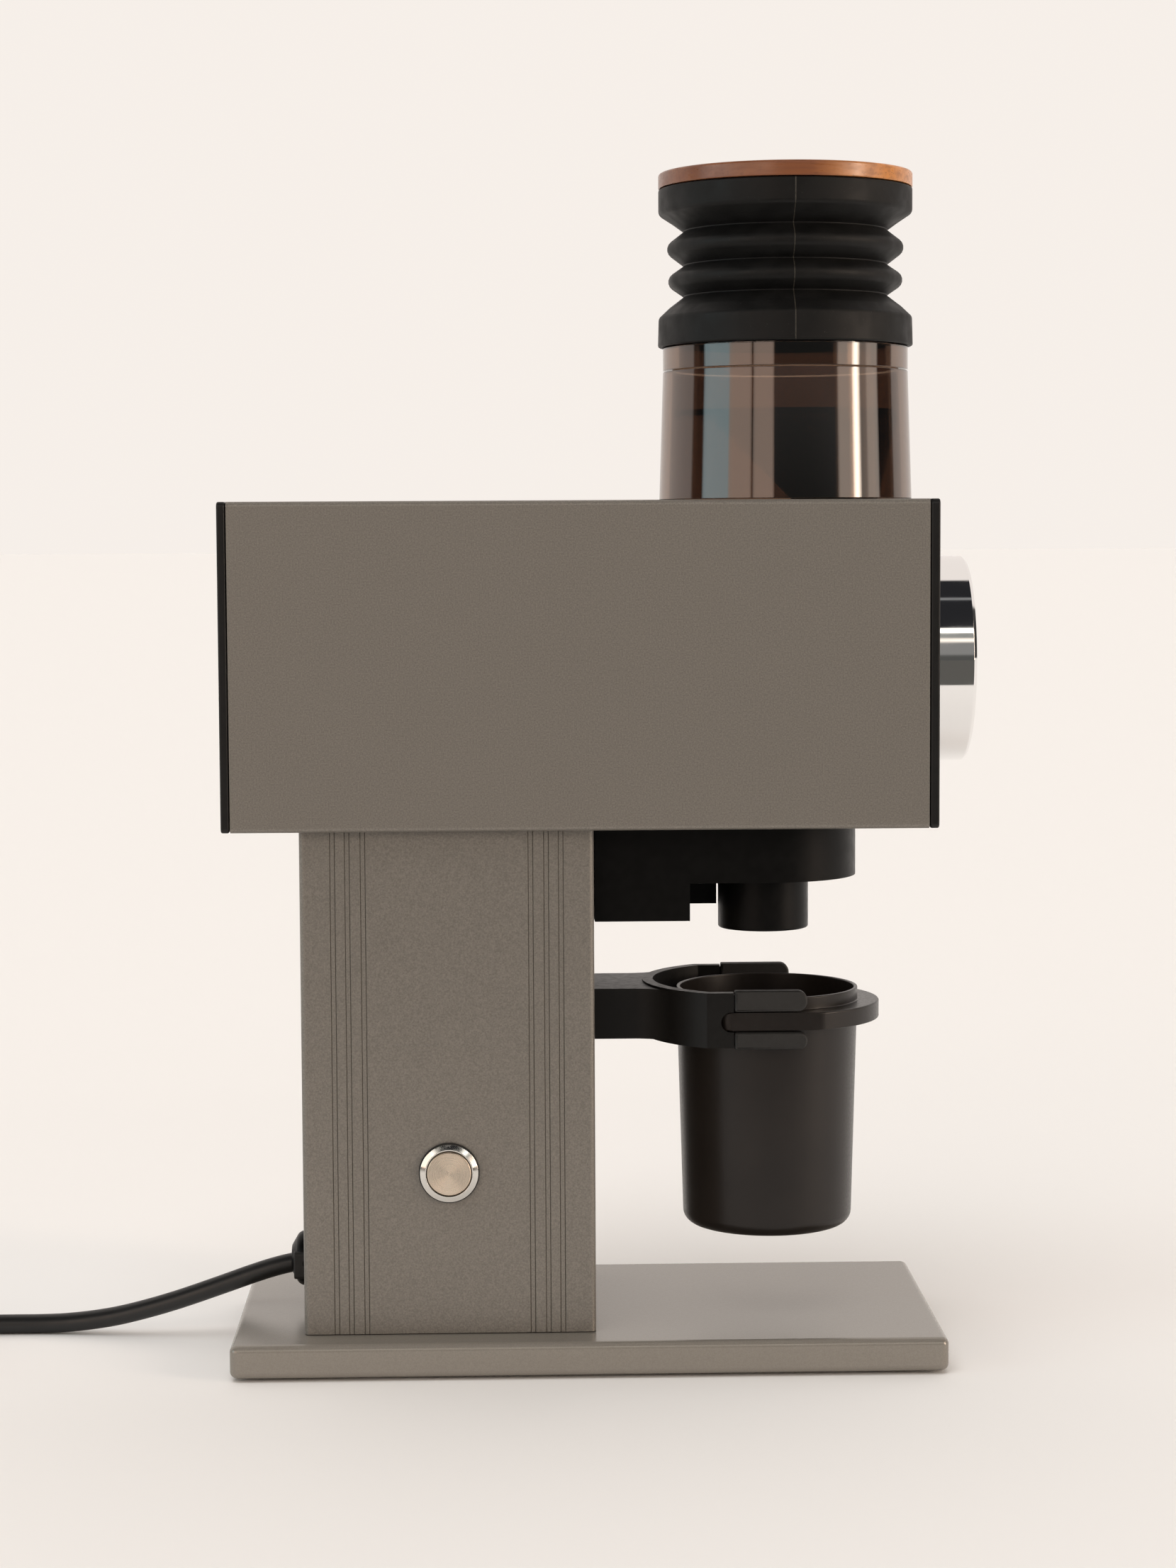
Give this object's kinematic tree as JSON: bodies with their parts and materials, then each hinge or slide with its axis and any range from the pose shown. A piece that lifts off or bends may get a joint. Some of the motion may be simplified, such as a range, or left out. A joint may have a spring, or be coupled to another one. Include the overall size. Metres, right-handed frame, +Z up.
{
  "type": "burr coffee grinder",
  "caption": "Single-dose burr coffee grinder with a box-shaped head on a column, smoky hopper with bellows and wooden lid, front dial and a dosing cup in a slotted fork.",
  "frame": {"origin": "middle of the grinder itself (cord left out) in plan, on the surface it stands on", "axes": "+X towards the adjustment dial (front), +Z up, -Y the side with the push button"},
  "size_m": [0.4417, 0.1284, 0.371],
  "materials": {
    "grey_coat": "fine-textured warm grey powder coat",
    "black_panel": "satin black coat",
    "rubber": "matte black",
    "steel": "machined",
    "brushed": "brushed, polished bezel",
    "cast": "cast, machined inside",
    "polished": "mirror polished",
    "smoky": "smoky brown clear plastic, smooth",
    "wood": "lacquered reddish-brown",
    "black_plastic": "satin black",
    "grip": "soft matte black, fine grain",
    "cup_coat": "satin black anodised, brownish sheen",
    "board": "green circuit board",
    "cord_sheath": "satin black sheath"
  },
  "bodies": {
    "stand": {"base_plate": "grey_coat", "foot_rear_near": "rubber", "foot_front_near": "rubber", "foot_rear_far": "rubber", "foot_front_far": "rubber", "base_screw_rear_near": "steel", "base_screw_front_near": "steel", "base_screw_rear_far": "steel", "base_screw_front_far": "steel", "column_tube": "grey_coat", "head_bolt_rear_near": "steel", "head_bolt_front_near": "steel", "head_bolt_rear_far": "steel", "head_bolt_front_far": "steel", "button_seal": "rubber", "button_body": "brushed", "button_nut": "steel", "head_tube": "grey_coat", "rear_cover": "black_panel", "rear_screw_low_near": "steel", "rear_screw_low_far": "steel", "rear_screw_high_near": "steel", "rear_screw_high_far": "steel", "front_panel": "black_panel", "motor": "steel", "motor_bulkhead": "cast", "shaft_bearing": "steel", "grinding_chamber": "cast", "hopper_tube": "smoky", "hopper_ring": "smoky", "hopper_funnel": "smoky", "chute_housing": "black_plastic", "chute_spout": "black_plastic", "cup_fork": "black_panel", "fork_screw_near": "steel", "fork_screw_far": "steel", "fork_grip_upper_near": "grip", "fork_grip_upper_far": "grip", "fork_grip_lower_near": "grip", "fork_grip_lower_far": "grip", "control_board": "board", "cable_gland": "black_plastic", "power_cord": "cord_sheath", "plug_lead": "cord_sheath", "cord_coil": "cord_sheath", "cord_tie": "rubber", "mains_plug": "black_plastic"},
    "button": {"button_cap": "brushed", "button_spring": "steel"},
    "rotor": {"drive_shaft": "steel", "rotor_disc": "cast", "inner_burr": "steel", "feed_auger": "steel"},
    "burr_carrier": {"outer_burr_carrier": "cast", "outer_burr": "steel"},
    "dial": {"adjustment_dial": "polished", "adjuster_collar": "black_panel"},
    "bellows_cap": {"bellows": "rubber"},
    "lid": {"wood_lid": "wood"},
    "cup": {"dosing_cup": "cup_coat"}
  },
  "joints": [
    {"name": "button_press", "type": "slide", "parent": "stand", "child": "button", "axis": [0, 1, 0], "range_m": [0, 0.0015], "stiffness_N_per_m": 1500},
    {"name": "burr_spin", "type": "hinge", "parent": "stand", "child": "rotor", "pos_m": [0, 0, 0.2184], "axis": [1, 0, 0], "continuous": true},
    {"name": "dial_turn", "type": "hinge", "parent": "stand", "child": "dial", "pos_m": [0.1, 0, 0.2184], "axis": [1, 0, 0], "range_deg": [0, 300]},
    {"name": "burr_adjust", "type": "slide", "parent": "stand", "child": "burr_carrier", "axis": [1, 0, 0], "range_m": [0, 0.0013]},
    {"name": "bellows_lift", "type": "slide", "parent": "stand", "child": "bellows_cap", "axis": [0, 0, 1], "range_m": [0, 0.08]},
    {"name": "lid_press", "type": "slide", "parent": "bellows_cap", "child": "lid", "axis": [0, 0, -1], "range_m": [0, 0.018], "stiffness_N_per_m": 800, "springref_m": -0.002, "deforming": ["bellows"]},
    {"name": "cup_slide", "type": "slide", "parent": "stand", "child": "cup", "axis": [1, 0, 0], "range_m": [0, 0.06]}
  ],
  "couplings": [
    {"joint": "burr_adjust", "follows": "dial_turn", "m_per_rad": 0.00024}
  ]
}
